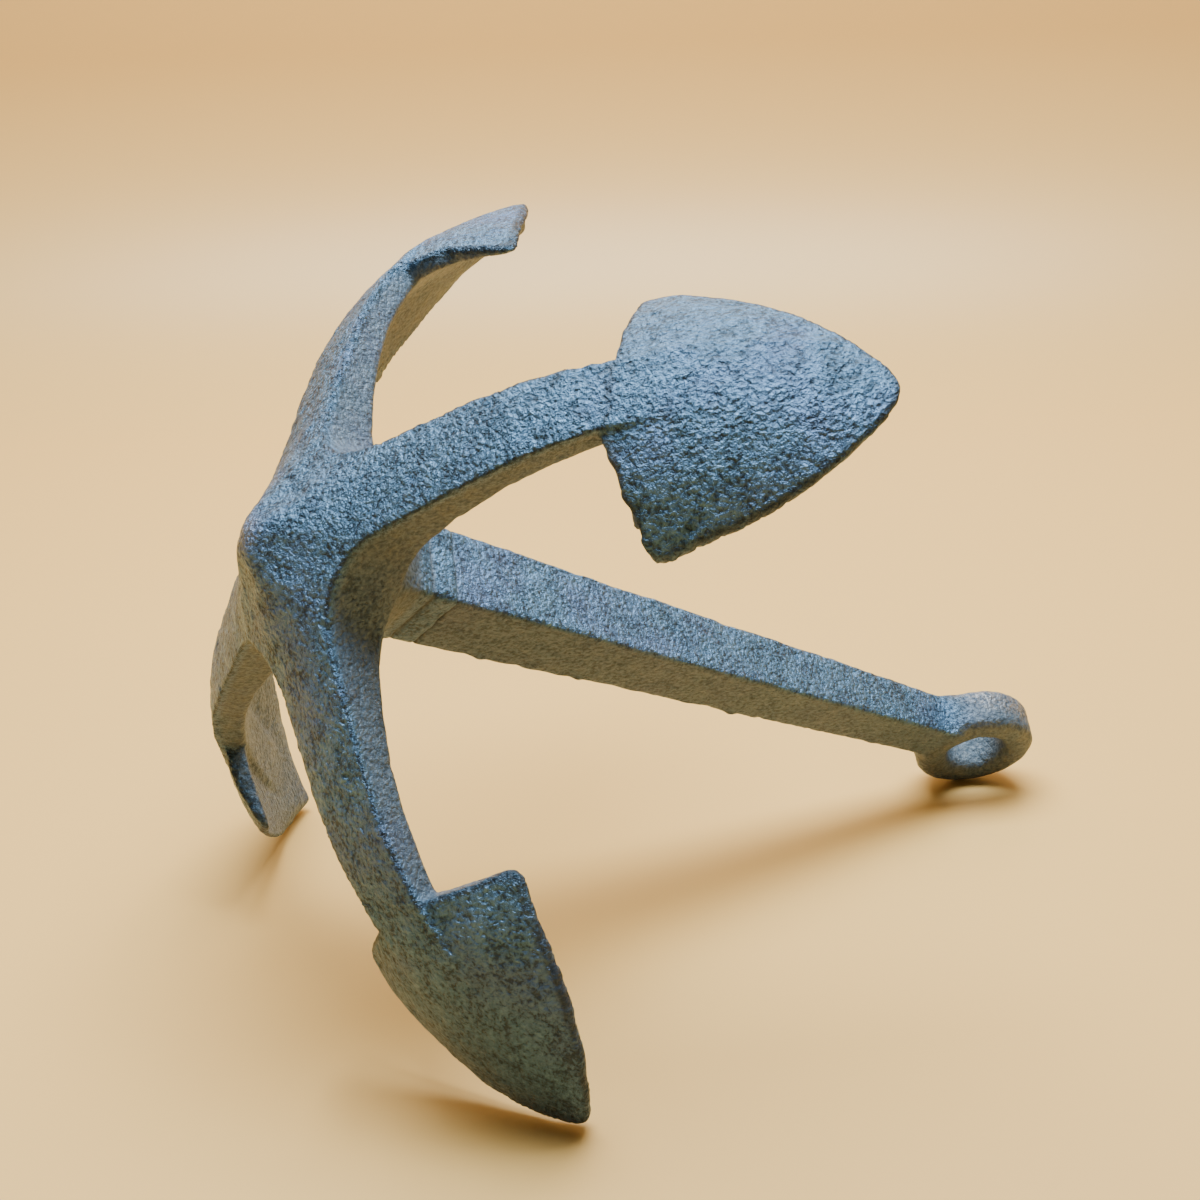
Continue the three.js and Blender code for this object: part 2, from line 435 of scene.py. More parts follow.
def fill_pinches(values, bury):
    """Puts a corner just inside wherever a cell's face has only two diagonal corners inside.

    Every edge of the skin then joins two faces and never four."""
    for _ in range(4):
        for axis in range(3):
            layers = np.moveaxis(values, axis, 0)
            inside = layers < 0
            a, b = inside[:, :-1, :-1], inside[:, 1:, 1:]
            c, d = inside[:, 1:, :-1], inside[:, :-1, 1:]
            layers[:, 1:, :-1][a & b & ~c & ~d] = -bury
            layers[:, :-1, :-1][c & d & ~a & ~b] = -bury


def skin_of(field, low, high, step):
    """Quads over the zero level of a field, and their points.

    There is one point in every cell that the level crosses, at the mean of its crossings. The field is
    read coarsely first, then finely in the blocks near its zero level."""
    low, high = np.array(low, float), np.array(high, float)
    count = np.ceil((high - low) / step).astype(int) + 1
    block = 8
    count = (count + block) // block * block + 1
    axes = [low[k] + step * np.arange(count[k]) for k in range(3)]
    coarse = [axis[block // 2 :: block][: (n - 1) // block] for axis, n in zip(axes, count)]
    centres = np.stack(np.meshgrid(*coarse, indexing="ij"), -1).reshape(-1, 3)
    rough = field(centres).reshape([len(c) for c in coarse])
    values = np.pad(np.kron(rough, np.ones([block] * 3)), (0, 1), mode="edge").astype(np.float32)
    corner = np.argwhere(np.abs(rough) < step * block * 1.6) * block
    inner = np.stack(np.meshgrid(*[np.arange(block + 1)] * 3, indexing="ij"), -1).reshape(-1, 3)
    for some in np.array_split(corner, max(1, len(corner) // 400)):
        index = (some[:, None] + inner[None]).reshape(-1, 3)
        values[index[:, 0], index[:, 1], index[:, 2]] = field(low + index * step)
    fill_pinches(values, 0.1 * step)
    inside = values < 0
    number = np.full([n - 1 for n in count], -1, np.int64)
    total = np.zeros([n - 1 for n in count], np.int8)
    for dx in (0, 1):
        for dy in (0, 1):
            for dz in (0, 1):
                total += inside[dx : count[0] - 1 + dx, dy : count[1] - 1 + dy, dz : count[2] - 1 + dz]
    cells = np.argwhere((total > 0) & (total < 8))
    number[cells[:, 0], cells[:, 1], cells[:, 2]] = np.arange(len(cells))
    place, crossings = np.zeros((len(cells), 3)), np.zeros((len(cells), 1))
    quads = []
    for axis in range(3):
        one, u, v = np.roll(np.eye(3, dtype=int), axis, 1)
        for i, j in [(0, 0), (0, 1), (1, 0), (1, 1)]:
            a = cells + i * u + j * v
            b = a + one
            va, vb = values[tuple(a.T)], values[tuple(b.T)]
            cross = (va < 0) != (vb < 0)
            share = np.where(cross, va / np.where(cross, va - vb, 1), 0)
            point = a + share[:, None] * one
            place += np.where(cross[:, None], point, 0)
            crossings += cross[:, None]
        va, vb = values[tuple(cells.T)], values[tuple((cells + one).T)]
        cross = (va < 0) != (vb < 0)
        cross &= (cells[:, (axis + 1) % 3] > 0) & (cells[:, (axis + 2) % 3] > 0)
        at = cells[cross]
        ring = [at, at - u, at - u - v, at - v]
        quad = np.stack([number[tuple(q.T)] for q in ring], 1)
        quads.append(np.where((va[cross] < 0)[:, None], quad, quad[:, ::-1]))
    quads = np.vstack(quads)
    return low + place / crossings * step, quads[(quads >= 0).all(1)]


def folded(own):
    """A point's distance back, and its distances along and beside the nearest arm."""
    half = math.sqrt(0.5)
    p = np.abs(own[:, 1] + own[:, 2]) * half
    q = np.abs(own[:, 2] - own[:, 1]) * half
    return own[:, 0], np.maximum(p, q), np.minimum(p, q)


def arm_half_width(t, shape):
    """Half the arm's width: a straight taper to the neck, then narrower still within the fluke."""
    root, neck = shape.arm_half_width / MM, shape.neck_half_width / MM
    taper = np.clip((t - 0.14) / (FLUKE_NECK - 0.14), 0, 1)
    return (root + (neck - root) * taper) * (1 - 2.2 * np.maximum(t - 0.8, 0))


def outer_face(t, depth, beside):
    """The crowned outer face of an arm: round at the nose, nearly flat further out."""
    width = 3.4 + 7 * smooth(0, 0.14, t)
    crowning = 3.2 + (1.15 - 3.2) * smooth(0.02, 0.26, t)
    return crowning * np.minimum(beside / width, 2.5) ** 2 - depth


def arm_axes(own, azimuth):
    """Distances along and to one side of the arm at this azimuth."""
    c, s = math.cos(math.radians(azimuth)), math.sin(math.radians(azimuth))
    return own[:, 1] * c + own[:, 2] * s, own[:, 2] * c - own[:, 1] * s


def damage(own, t):
    """How far the blades' outlines are eaten away: a ragged shoulder, a nick and slight unevenness."""
    ragged, ragged_side = arm_axes(own, ARM_AZIMUTHS["upper_near"])
    shoulder = smooth(50, 60, ragged) * smooth(7, 11, ragged_side) * (1 - smooth(0.66, 0.72, t))
    nicked, nicked_side = arm_axes(own, ARM_AZIMUTHS["upper_far"])
    nick = np.exp(-(((nicked_side - 16) / 1.7) ** 2) - ((t - 0.63) / 0.02) ** 2)
    nick = smooth(50, 60, nicked) * nick
    return 0.16 * noise(own, 2.6, 83) + shoulder * (0.2 + 0.7 * noise(own, 2.0, 91)) + 1.9 * nick


def blade_parts(own, t, depth, beside, shape):
    """A spade blade, bowed inwards with the square of the distance beside the arm.

    At v along it, it is as wide as (1 - v) to the power of its roundness, times 1 + its fullness times v.
    Returns its outer face, its outline and the whole."""
    near, near_side = arm_axes(own, ARM_AZIMUTHS["upper_near"])
    lean_of_tip = TIP_LEAN * smooth(0.68, 1.02, t) * smooth(45, 55, near)
    beside = np.where(near > 45, np.abs(near_side - lean_of_tip), beside)
    upper = own[:, 2] > 0
    wide = np.where(upper, shape.upper_half_width, shape.fluke_half_width) / MM
    bend = np.where(upper, shape.upper_hollow, shape.fluke_hollow) / MM
    rough_v = np.clip((t - FLUKE_NECK) / (1 - FLUKE_NECK), 0, 0.99)
    rough_width = wide * (1 - rough_v) ** FLUKE_ROUNDNESS * (1 + FLUKE_FULLNESS * rough_v)
    aside = np.clip(beside / rough_width, 0, 1)
    early = 0.03 * smooth(45, 55, near) * smooth(2, 8, near_side)
    early += 0.022 * smooth(45, 55, arm_axes(own, ARM_AZIMUTHS["lower_near"])[0])
    early = early * (1 - smooth(0.62, 0.8, t))
    start = FLUKE_NECK - early + (FLUKE_SHOULDER - FLUKE_NECK) * aside
    v = np.clip((t - start) / (1 - start), 0, 0.992)
    outline = (1 - v) ** FLUKE_ROUNDNESS * (1 + FLUKE_FULLNESS * v)
    narrowing = FLUKE_ROUNDNESS * wide * outline / (1 - start) / READ_LINE.length
    rim = (beside - wide * outline) / np.maximum(1, narrowing / np.maximum(1 - v, 0.02))
    base = (start - t) * READ_LINE.length
    plan = smooth_max(smooth_max(rim, base, 3.2), (t - FLUKE_END) * READ_LINE.length, 1.6)
    plan = plan + damage(own, t)
    spread = beside / wide
    hollow = bend * np.minimum(spread, 1.3) ** 2 + NECK_SINK * (1 - smooth(0, 0.075, t - start))
    steep = np.hypot(1, 2 * bend * np.minimum(spread, 1.3) / wide)
    thick = FLUKE_THICK - EDGE_THINNING * aside**3 - TIP_THINNING * smooth(0.75, 1, v)
    face = (hollow - depth) / steep
    sheet = np.maximum(face, (depth - hollow - thick) / steep)
    return face, plan, smooth_max(sheet, plan, 1.0)


def boss_field(own):
    """The boss: round at the crown, flaring down to the shank's own square section at its end."""
    q = shank_axes(own)
    round_one = np.hypot(q[:, 1], q[:, 2])
    square = smooth_max(np.abs(q[:, 1]), np.abs(q[:, 2]), 1.4)
    squared = smooth(27, 38, q[:, 0])
    return round_one + (square - round_one) * squared - along(BOSS_LINE, q[:, 0])


def crown_parts(own, shape):
    """The crown's surfaces at the points.

    Returns the place along the arm, the arms' outer faces, their side walls and the arms, the blades'
    outer faces, their outlines and the blades, and the boss."""
    back, out, beside = folded(own)
    t, depth = READ_LINE(out, back)
    t2, depth2 = READ_LINE(beside, back)
    outer = outer_face(t, depth, beside)
    other = outer_face(t2, depth2, out) + 2 * np.maximum(out - HUB_REACH, 0)
    outer = smooth_max(smooth_min(outer, other, 3.4), NOSE_FLAT - back, 2.4)
    outer = outer + 0.6 * smooth(0.66, 0.8, t)
    draft = ARM_DRAFT * np.clip(depth, 0, 12)
    width = arm_half_width(np.clip(t, 0.14, 1), shape) - draft
    root = shape.arm_half_width / MM - draft
    side = round_union(beside - width, out - root, shape.crotch_radius / MM)
    inner = depth - along(ARM_DEPTHS, t)
    arm = smooth_max(smooth_max(outer, side, 0.35), inner, 1.4)
    arm = np.maximum(arm, (t - ARM_END) * READ_LINE.length)
    ends = np.maximum(back - SHANK_START - BOSS_OVERRUN, BOSS_START - back)
    boss = np.maximum(boss_field(own), ends)
    face, plan, blade = blade_parts(own, t, depth, beside, shape)
    return t, outer, side, arm, face, plan, blade, boss


def crown_field(own, shape):
    """Arms, blades and boss as one field, with fillets between them."""
    _, _, _, arm, _, _, blade, boss = crown_parts(own, shape)
    return smooth_min(smooth_min(arm, blade, ARM_TO_BLADE), boss, CROWN_TO_BOSS)


def shank_axes(own):
    """Turns the anchor's own points to the shank's square section."""
    c, s = math.cos(math.radians(SHANK_TURN)), math.sin(math.radians(SHANK_TURN))
    return np.stack([own[:, 0], own[:, 1] * c + own[:, 2] * s, own[:, 2] * c - own[:, 1] * s], -1)


def from_arm_axes(q):
    """Turns points whose second and third axes lie along the arms to the anchor's own."""
    half = math.sqrt(0.5)
    return np.stack([q[:, 0], (q[:, 1] - q[:, 2]) * half, (q[:, 1] + q[:, 2]) * half], -1)


def from_shank_axes(q):
    """Turns points in the axes of the shank's square section to the anchor's own."""
    c, s = math.cos(math.radians(SHANK_TURN)), math.sin(math.radians(SHANK_TURN))
    return np.stack([q[:, 0], q[:, 1] * c - q[:, 2] * s, q[:, 1] * s + q[:, 2] * c], -1)


def bar_end(shape):
    """How far back the square bar runs, inside the eye."""
    return shape.length / MM - 2 * shape.eye_radius / MM + EYE_OVERLAP


def shank_field(q, shape):
    """Tapered square bar and thick ring run into one, and the hidden tang, in the section's own axes."""
    stop = bar_end(shape)
    share = np.clip((q[:, 0] - SHANK_START) / (stop - SHANK_START), 0, 1)
    half = (shape.shank_root + (shape.shank_end - shape.shank_root) * share) / MM / 2
    bar = smooth_max(np.abs(q[:, 1]) - half, np.abs(q[:, 2]) - half, SHANK_EDGE)
    bar = smooth_max(bar, np.maximum(SHANK_START - q[:, 0], q[:, 0] - stop), 0.8)
    outer, inner = shape.eye_radius / MM, shape.eye_hole / MM
    ring_radius = np.hypot(q[:, 0] - shape.length / MM + outer, q[:, 2])
    middle, reach, thick = (outer + inner) / 2, (outer - inner) / 2, shape.eye_thickness / MM / 2
    across = np.abs(ring_radius - middle) - (reach - EYE_EDGE)
    up = np.abs(q[:, 1]) - (thick - EYE_EDGE)
    rounded = np.hypot(np.maximum(across, 0), np.maximum(up, 0))
    ring = rounded + np.minimum(np.maximum(across, up), 0) - EYE_EDGE
    hole = inner + 0.4 - ring_radius
    whole = smooth_min(np.maximum(bar, hole), ring, SHANK_TO_EYE)
    ends = np.maximum(TANG_FROM - q[:, 0], q[:, 0] - TANG_TO)
    return np.minimum(whole, np.maximum(np.hypot(q[:, 1], q[:, 2]) - TANG_RADIUS, ends))


def settle_on(points, field, rounds=3):
    """Moves points along the field's slope on to its zero level."""
    step = 0.04
    for _ in range(rounds):
        rises = [field(points + step * k) - field(points - step * k) for k in np.eye(3)]
        slope = np.stack([rise / (2 * step) for rise in rises], -1)
        size = np.maximum((slope**2).sum(-1), 0.3)
        points = points - np.clip(field(points) / size, -0.5, 0.5)[:, None] * slope
    return points


def ring_line(back, own, place):
    """1 on a narrow ring round the shank's axis this far back, falling to 0 beside it."""
    near_axis = np.hypot(own[:, 1], own[:, 2]) < 15
    return near_axis * np.exp(-(((back - place) / 0.45) ** 2))


def build_crown():
    """The crown casting: the zero level of the joined fields of hub, boss, arms and flukes, roughened."""
    shape = shape_of()

    def field(q):
        return crown_field(from_arm_axes(q), shape)

    points, quads = skin_of(field, (-3, -112, -112), (104, 112, 112), shape.voxel / MM)
    points = settle_on(points, field)
    obj = mesh_object("cast_crown", to_rest(from_arm_axes(points) * MM, shape), quads.tolist())
    relax(obj, np.full(len(points), 0.3), 1)
    own = to_own(vertices(obj), shape) / MM
    t, outer, side, _, face, plan, _, _ = crown_parts(own, shape)
    flash = np.exp(-((outer / 0.6) ** 2) - (side / 0.6) ** 2) * (t < 0.6)
    ring = ring_line(own[:, 0], own, RING_AT)
    height = 0.26 * flash * (0.3 + 0.7 * noise(own, 2.2, 71)) - 0.5 * ring
    set_vertices(obj, vertices(obj) + normals(obj) * (height * MM)[:, None])
    on_boss = smooth(35, 37.5, own[:, 0]) * (np.hypot(own[:, 1], own[:, 2]) < 15)
    inner = np.where(t < FLUKE_NECK, -outer, -face)
    # Inner and side faces of arms and blades, away from their outer faces: a gentler skin, and painted
    # shade in the colour, a browner tone standing in for warm floor bounce.
    under = smooth(0.5, 2.5, inner) * (1 - on_boss)
    # Faces turned downwards: painted shade, a browner tone standing in for warm floor bounce.
    painted_underside_shade = smooth(0.1, -0.7, normals(obj)[:, 2])
    cast_skin(obj, 11, 1 - 0.5 * under)
    blade_rim = np.exp(-((np.maximum(plan, -9) + 0.4) ** 2))
    blade_rim = blade_rim * (t > FLUKE_NECK - 0.01) * (face > -1.6)
    set_attribute(obj, "edge", np.clip(flash + 0.85 * blade_rim + 0.7 * ring, 0, 1))
    set_attribute(obj, "rubbed", 0.5 * smooth(4.2, 2.2, own[:, 0]))
    # Brown tone: painted shade on inner and downward faces, real rust in the joint ring.
    set_attribute(obj, "rust_and_painted_shade", np.clip(0.66 * under + 0.4 * painted_underside_shade + ring, 0, 1))
    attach(obj, "root")
    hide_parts("crown_with_arms")
    return obj


def build_shank():
    """The shank casting: the zero level of the joined fields of bar, eye and tang, roughened."""
    shape = shape_of()

    def field(q):
        return shank_field(q, shape)

    q, quads = skin_of(field, (25, -16, -16), (218, 16, 16), shape.voxel / MM * 0.8)
    q = settle_on(q, field)
    obj = mesh_object("cast_shank", to_rest(from_shank_axes(q) * MM, shape), quads.tolist())
    relax(obj, np.full(len(q), 0.3), 1)
    stop = bar_end(shape)
    taper = [(SHANK_START, shape.shank_root / MM / 2), (stop, shape.shank_end / MM / 2)]
    half = along(taper, q[:, 0])
    on_bar = (q[:, 0] > SHANK_START) & (q[:, 0] < stop - 6)
    inset = np.minimum(np.abs(q[:, 1]), np.abs(q[:, 2])) / half
    corner = np.exp(-(((inset - 0.93) / 0.1) ** 2)) * on_bar
    flash = sum(np.exp(-(((q[:, 0] - at) / 1.3) ** 2)) for at in (86, 128, 61))
    flash = flash * ((q[:, 1] < 0) & (q[:, 2] < 0))
    marks = np.maximum(np.sin(2 * math.pi * (0.8 * q[:, 0] + 0.6 * q[:, 1]) / 1.9), 0) ** 2
    marks *= smooth(82, 90, q[:, 0]) * smooth(118, 106, q[:, 0])
    marks *= (q[:, 2] > 0.9 * half) * smooth(0, 0.4, noise(q, 7, 5))
    height = corner * (0.14 * noise(q, 2.4, 37) + 0.55 * flash) - 0.16 * marks
    set_vertices(obj, vertices(obj) + normals(obj) * (height * MM)[:, None])
    # Faces turned downwards: painted shade, a browner tone standing in for warm floor bounce.
    painted_underside_shade = smooth(0.15, -0.6, normals(obj)[:, 2])
    cast_skin(obj, 29, 0.7)
    eye_centre = shape.length / MM - shape.eye_radius / MM
    at_eye = smooth(eye_centre - 15, eye_centre - 8, q[:, 0])
    own = from_shank_axes(q)
    set_attribute(obj, "rubbed", at_eye * smooth(3.8, 6.2, q[:, 1] * 0.6 + q[:, 2] * 0.4) * 0.6)
    ring = ring_line(q[:, 0], own, SHANK_START + SHANK_RING)
    worn_corner = 0.6 * corner * smooth(0, 0.5, noise(q, 3, 41))
    set_attribute(obj, "edge", np.clip(worn_corner + 0.7 * ring, 0, 1))
    # Brown tone: real rust on the eye and the joint ring, painted shade on downward faces.
    set_attribute(obj, "rust_and_painted_shade", np.clip(0.85 * at_eye + ring + 0.7 * painted_underside_shade, 0, 1))
    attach(obj, "root")
    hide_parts("shank_with_eye")
    return obj


# ---- materials


class Nodes:
    """Short calls to lay out a material's nodes."""

    def __init__(self, name):
        self.material = bpy.data.materials.new(name)
        self.material.use_nodes = True
        self.tree = self.material.node_tree
        self.shader = self.tree.nodes["Principled BSDF"]

    def add(self, kind, inputs=None, **settings):
        """A node with its settings, its inputs set or linked."""
        node = self.tree.nodes.new(kind)
        for key, value in settings.items():
            setattr(node, key, value)
        for key, value in (inputs or {}).items():
            if isinstance(value, bpy.types.NodeSocket):
                self.tree.links.new(value, node.inputs[key])
            else:
                node.inputs[key].default_value = value
        return node

    def noise(self, where, scale, detail=4, rough=0.6, distortion=0.0):
        """Noise with this many lumps to the metre."""
        values = {"Vector": where, "Scale": scale, "Detail": detail, "Roughness": rough}
        values["Distortion"] = distortion
        return self.add("ShaderNodeTexNoise", values).outputs["Fac"]

    def ramp(self, value, low, high):
        """0 at low, 1 at high, straight between."""
        values = {"Value": value, "From Min": low, "From Max": high, "To Min": 0.0, "To Max": 1.0}
        return self.add("ShaderNodeMapRange", values, clamp=True).outputs["Result"]

    def math(self, operation, a, b, clamp=False):
        """One step of arithmetic."""
        return self.add("ShaderNodeMath", {0: a, 1: b}, operation=operation, use_clamp=clamp).outputs[0]

    def mix(self, factor, a, b):
        """Colour a going over to colour b as the factor goes from 0 to 1."""
        node = self.add("ShaderNodeMix", data_type="RGBA", blend_type="MIX")
        for index, value in ((0, factor), (6, a), (7, b)):
            if isinstance(value, bpy.types.NodeSocket):
                self.tree.links.new(value, node.inputs[index])
            else:
                node.inputs[index].default_value = value if index == 0 else (*value[:3], 1.0)
        return node.outputs[2]

    def link(self, source, socket):
        """Puts an output on one of the shader's inputs."""
        self.tree.links.new(source, self.shader.inputs[socket])


def cast_iron_paint(name, seed):
    """Worn blue paint over sand-cast iron.

    Its paint goes from blue to chalked with the grain, with a violet tinge in broad patches. Dark oxide
    shows in specks and on edges. A grey-brown tone lies on the marked places: real rust on the joint rings
    and the eye, and painted shade with a warm floor-bounce tint on inner and downward faces. Bare iron
    shows where it is rubbed."""
    f = finish_of()
    n = Nodes(name)
    place = n.add("ShaderNodeTexCoord").outputs["Object"]
    where = n.add("ShaderNodeVectorMath", {0: place, 1: (seed, 0.0, 0.0)}, operation="ADD").outputs[0]
    broad = n.noise(where, 45, 4, 0.6)
    patch = n.noise(where, 250, 4, 0.62)
    grain = n.noise(where, 1100, 3, 0.6, 0.3)
    fine = n.noise(where, 2300, 2, 0.6)
    cells = n.add("ShaderNodeTexVoronoi", {"Vector": where, "Scale": 860.0}, feature="F1")
    cells = cells.outputs["Distance"]
    # Brown-tone mask: real rust on rings and eye, painted shade on inner and downward faces.
    rust_and_painted_shade = n.add("ShaderNodeAttribute", attribute_name="rust_and_painted_shade").outputs["Fac"]
    worn = n.add("ShaderNodeAttribute", attribute_name="rubbed").outputs["Fac"]
    edge = n.add("ShaderNodeAttribute", attribute_name="edge").outputs["Fac"]
    mottle = n.math("ADD", n.math("MULTIPLY", grain, 0.6), n.math("MULTIPLY", patch, 0.4))
    paint = n.mix(n.ramp(mottle, 0.40, 0.62), tuple(f.paint), tuple(f.pale))
    violet = n.math("MULTIPLY", n.ramp(broad, 0.48, 0.68), 0.4)
    paint = n.mix(violet, paint, tuple(f.violet))
    speck = n.math("ADD", n.math("MULTIPLY", grain, 0.45), n.math("MULTIPLY", fine, 0.25))
    speck = n.math("ADD", speck, n.math("MULTIPLY", patch, 0.30))
    clean = n.math("SUBTRACT", 1.0, n.math("MULTIPLY", rust_and_painted_shade, 0.7))
    bare = n.math("MULTIPLY", n.math("MULTIPLY", n.ramp(speck, 0.49, 0.42), 0.62), clean)
    colour = n.mix(bare, paint, tuple(f.iron))
    # The grey-brown rust and dust colours over that mask: real rust on rings and eye, and painted shade on
    # inner and downward faces.
    dust_and_shade = n.ramp(n.math("ADD", n.math("MULTIPLY", patch, 0.5), n.math("MULTIPLY", grain, 0.5)), 0.36, 0.58)
    dust_and_shade = n.math("MULTIPLY", rust_and_painted_shade, n.math("ADD", n.math("MULTIPLY", dust_and_shade, 0.55), 0.4), True)
    colour = n.mix(dust_and_shade, colour, n.mix(n.ramp(grain, 0.38, 0.62), tuple(f.rust_and_shade), tuple(f.dust_and_shade)))
    bright = n.math("MULTIPLY", worn, n.ramp(grain, 0.40, 0.56), True)
    colour = n.mix(bright, colour, tuple(f.rubbed))
    dark = n.math("MULTIPLY", n.ramp(edge, 0.25, 0.8), n.ramp(patch, 0.36, 0.56), True)
    colour = n.mix(n.math("MULTIPLY", dark, 0.8), colour, tuple(f.iron))
    n.link(colour, "Base Color")
    rough = n.math("ADD", n.math("MULTIPLY", n.ramp(mottle, 0.35, 0.65), -0.16), 0.48)
    rough = n.math("ADD", rough, n.math("MULTIPLY", rust_and_painted_shade, 0.16))
    rough = n.math("SUBTRACT", rough, n.math("MULTIPLY", bright, 0.2), True)
    n.link(rough, "Roughness")
    metal = n.math("SUBTRACT", 0.5, n.math("MULTIPLY", rust_and_painted_shade, 0.45), True)
    n.link(n.math("ADD", metal, n.math("MULTIPLY", bright, 0.5), True), "Metallic")
    n.shader.inputs["Specular IOR Level"].default_value = 0.6
    height = n.math("ADD", n.math("MULTIPLY", grain, 1.0), n.math("MULTIPLY", fine, 0.35))
    height = n.math("SUBTRACT", height, n.math("MULTIPLY", cells, 0.5))
    calm = n.math("SUBTRACT", 1.0, n.math("MULTIPLY", rust_and_painted_shade, 0.5))
    height = n.math("MULTIPLY", height, calm)
    bump = n.add("ShaderNodeBump", {"Height": height, "Strength": 0.9, "Distance": 0.0009})
    n.link(bump.outputs["Normal"], "Normal")
    return n.material


def plain_floor():
    """A smooth matt surface with very faint unevenness of tone."""
    f = finish_of()
    n = Nodes("pale_surface")
    where = n.add("ShaderNodeTexCoord").outputs["Object"]
    tone = n.ramp(n.noise(where, 3, 3, 0.5), 0.3, 0.7)
    colour = n.mix(n.math("MULTIPLY", tone, 0.12), tuple(f.floor), tuple(c * 0.93 for c in f.floor))
    n.link(colour, "Base Color")
    n.shader.inputs["Roughness"].default_value = 0.42
    n.shader.inputs["Specular IOR Level"].default_value = 0.5
    return n.material


def set_attribute(obj, name, values):
    """Keeps one number for each point of the mesh, for the material to read."""
    attribute = obj.data.attributes.new(name, "FLOAT", "POINT")
    attribute.data.foreach_set("value", values.astype(np.float32))


# ---- stage, in metres

CAMERA_RIGHT = (0.88101, -0.47225, -0.02835)
CAMERA_DOWN = (-0.19887, -0.3153, -0.92792)
CAMERA_AHEAD = (0.42927, 0.82315, -0.3717)
CAMERA_PLACE = (-0.20824, -0.36351, 0.23539)
CAMERA_LENS, CAMERA_SENSOR = 62.2, 36       # millimetres

# The card sweep, measured along the line of sight from under the camera.
CARD_START, CARD_FOLD, CARD_RADIUS = -6, 0.76, 0.13
CARD_HEIGHT, CARD_HALF_WIDTH = 1.2, 5

LIGHT_PLACE, LIGHT_TARGET = (0.05, 0.12, 0.80), (0.02, 0.03, 0.05)
LIGHT_SIZE, LIGHT_POWER, LIGHT_COLOUR = (0.7, 0.5), 20.5, (0.80, 0.91, 1.0)
ROOM_COLOUR, ROOM_STRENGTH = (1.0, 0.88, 0.74, 1), 0.12


def aim(obj, place, target):
    """Puts obj at place, looking at target."""
    direction = Vector(target) - Vector(place)
    turn = direction.to_track_quat("-Z", "Y").to_matrix().to_4x4()
    obj.matrix_world = Matrix.Translation(place) @ turn


def soft_light(name, place, target, size, power, colour):
    """A rectangular area light of this size, in watts."""
    data = bpy.data.lights.new(name, "AREA")
    data.shape, data.size, data.size_y = "RECTANGLE", size[0], size[1]
    data.energy, data.color = power, colour
    obj = bpy.data.objects.new(name, data)
    bpy.context.scene.collection.objects.link(obj)
    aim(obj, place, target)


def backdrop():
    """A sweep of pale card square to the line of sight: a flat floor, a quarter turn and a wall."""
    turn = np.linspace(0, math.pi / 2, 30)[1:]
    back = CARD_FOLD + CARD_RADIUS
    floor = np.linspace(CARD_START, CARD_FOLD, 20)
    wall = np.linspace(CARD_RADIUS, CARD_HEIGHT, 11)[1:]
    depth = np.r_[floor, CARD_FOLD + CARD_RADIUS * np.sin(turn), np.full(len(wall), back)]
    rise = np.r_[np.zeros(len(floor)), CARD_RADIUS - CARD_RADIUS * np.cos(turn), wall]
    across = np.linspace(-CARD_HALF_WIDTH, CARD_HALF_WIDTH, 30)
    a, d = np.meshgrid(across, depth)
    z = np.broadcast_to(rise[:, None], a.shape)
    ahead = Vector(CAMERA_AHEAD).xy.normalized()
    x = CAMERA_PLACE[0] + d * ahead.x + a * ahead.y
    y = CAMERA_PLACE[1] + d * ahead.y - a * ahead.x
    points = np.stack([x, y, z], -1).reshape(-1, 3)
    quads = grid_faces(len(depth), len(across))
    obj = mesh_object("card_sweep", points, quads.tolist())
    obj.data.materials.append(plain_floor())
    obj.data.polygons.foreach_set("use_smooth", np.ones(len(obj.data.polygons), bool))


def build_stage():
    """The card sweep, one soft light overhead, a dim room round them and the camera."""
    backdrop()
    soft_light("ceiling", LIGHT_PLACE, LIGHT_TARGET, LIGHT_SIZE, LIGHT_POWER, LIGHT_COLOUR)
    world = bpy.data.worlds.new("soft_room")
    world.use_nodes = True
    room = world.node_tree.nodes["Background"]
    room.inputs["Color"].default_value = ROOM_COLOUR
    room.inputs["Strength"].default_value = ROOM_STRENGTH
    bpy.context.scene.world = world
    camera = bpy.data.cameras.new("camera")
    camera.lens = CAMERA_LENS
    camera.sensor_width = CAMERA_SENSOR
    obj = bpy.data.objects.new("camera", camera)
    bpy.context.scene.collection.objects.link(obj)
    right, down, ahead = Vector(CAMERA_RIGHT), Vector(CAMERA_DOWN), Vector(CAMERA_AHEAD)
    turn = Matrix((right, -down, -ahead)).transposed().to_4x4()
    obj.matrix_world = Matrix.Translation(CAMERA_PLACE) @ turn
    bpy.context.scene.camera = obj


# ---- operators and panel


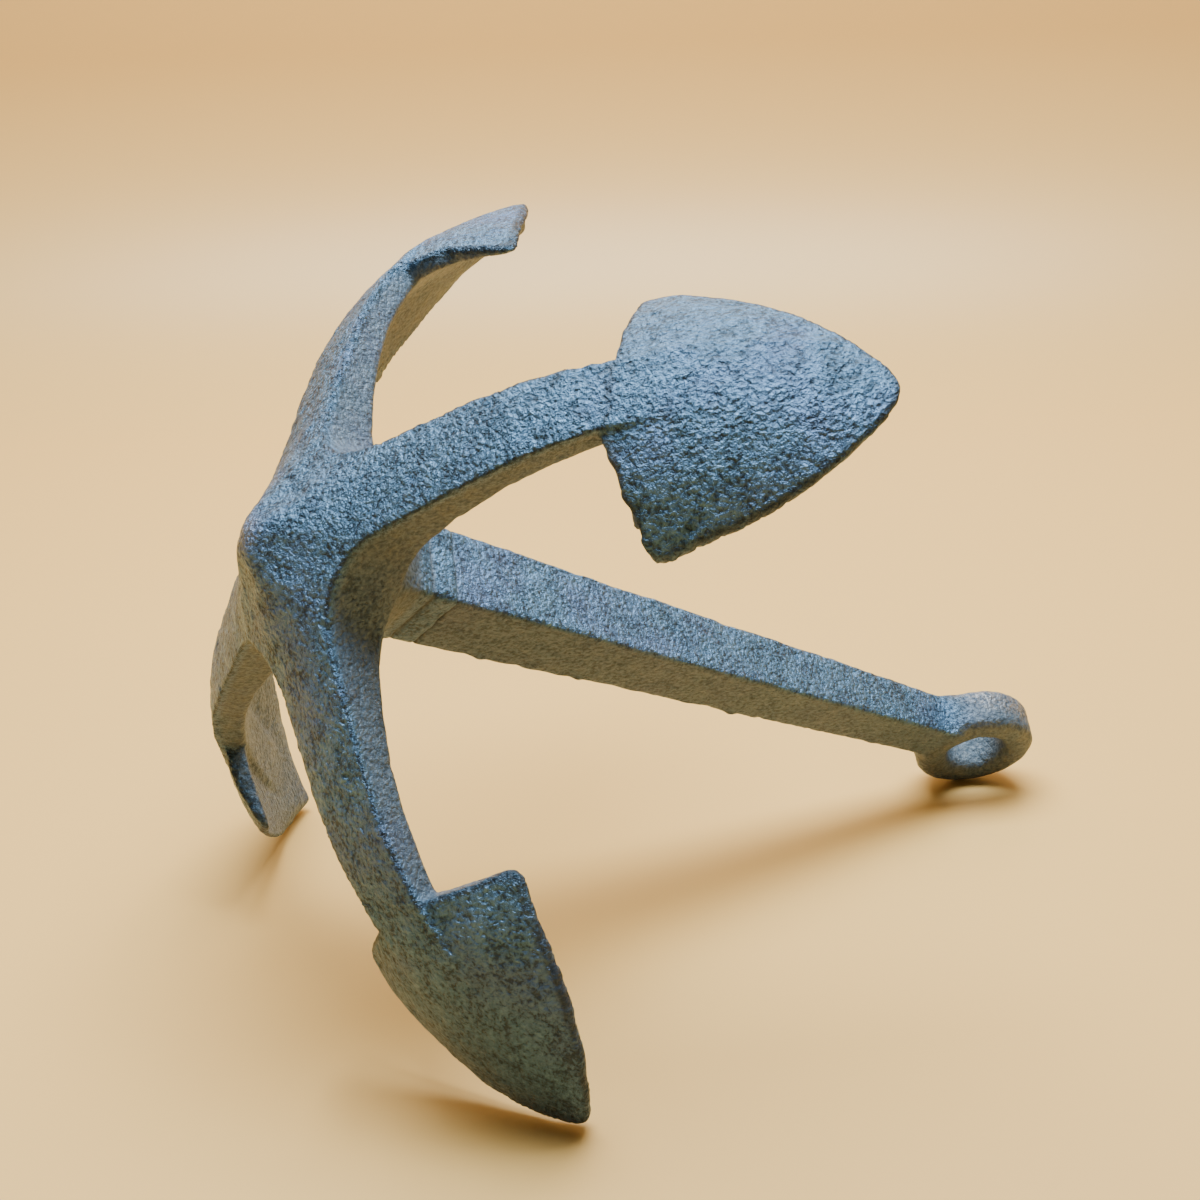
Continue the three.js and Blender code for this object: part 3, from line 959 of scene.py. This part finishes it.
class ANCHOR_OT_crown(bpy.types.Operator):
    """Builds the crown casting with its arms and flukes."""

    bl_idname = "anchor.crown"
    bl_label = "Crown with arms"

    def execute(self, context):
        crown = build_crown()
        crown.data.materials.clear()
        crown.data.materials.append(cast_iron_paint("crown_paint", 0.0))
        return {"FINISHED"}


class ANCHOR_OT_shank(bpy.types.Operator):
    """Builds the shank casting with its eye."""

    bl_idname = "anchor.shank"
    bl_label = "Shank with eye"

    def execute(self, context):
        shank = build_shank()
        shank.data.materials.clear()
        shank.data.materials.append(cast_iron_paint("shank_paint", 0.37))
        return {"FINISHED"}


class ANCHOR_OT_stage(bpy.types.Operator):
    """Builds the surface, the lights and the camera."""

    bl_idname = "anchor.stage"
    bl_label = "Stage"

    def execute(self, context):
        build_stage()
        return {"FINISHED"}


class ANCHOR_PT_panel(bpy.types.Panel):
    """Sizes, colours and the steps of the anchor."""

    bl_label = "Grapnel anchor"
    bl_idname = "ANCHOR_PT_panel"
    bl_space_type = "VIEW_3D"
    bl_region_type = "UI"
    bl_category = "Anchor"

    def draw(self, context):
        for group in (context.scene.anchor_shape, context.scene.anchor_finish):
            for key in group.__annotations__:
                self.layout.prop(group, key)
        for step in ("anchor.crown", "anchor.shank", "anchor.stage"):
            self.layout.operator(step)


CLASSES = (AnchorShape, AnchorFinish, ANCHOR_OT_crown, ANCHOR_OT_shank, ANCHOR_OT_stage, ANCHOR_PT_panel)


def register():
    """Adds the classes and the two groups of settings."""
    for cls in CLASSES:
        bpy.utils.register_class(cls)
    bpy.types.Scene.anchor_shape = PointerProperty(type=AnchorShape)
    bpy.types.Scene.anchor_finish = PointerProperty(type=AnchorFinish)


def unregister():
    """Takes them away again."""
    del bpy.types.Scene.anchor_finish
    del bpy.types.Scene.anchor_shape
    for cls in reversed(CLASSES):
        bpy.utils.unregister_class(cls)


def main():
    """Builds the anchor and its stage."""
    register()
    bpy.ops.anchor.crown()
    bpy.ops.anchor.shank()
    bpy.ops.anchor.stage()


if __name__ == "__main__":
    main()
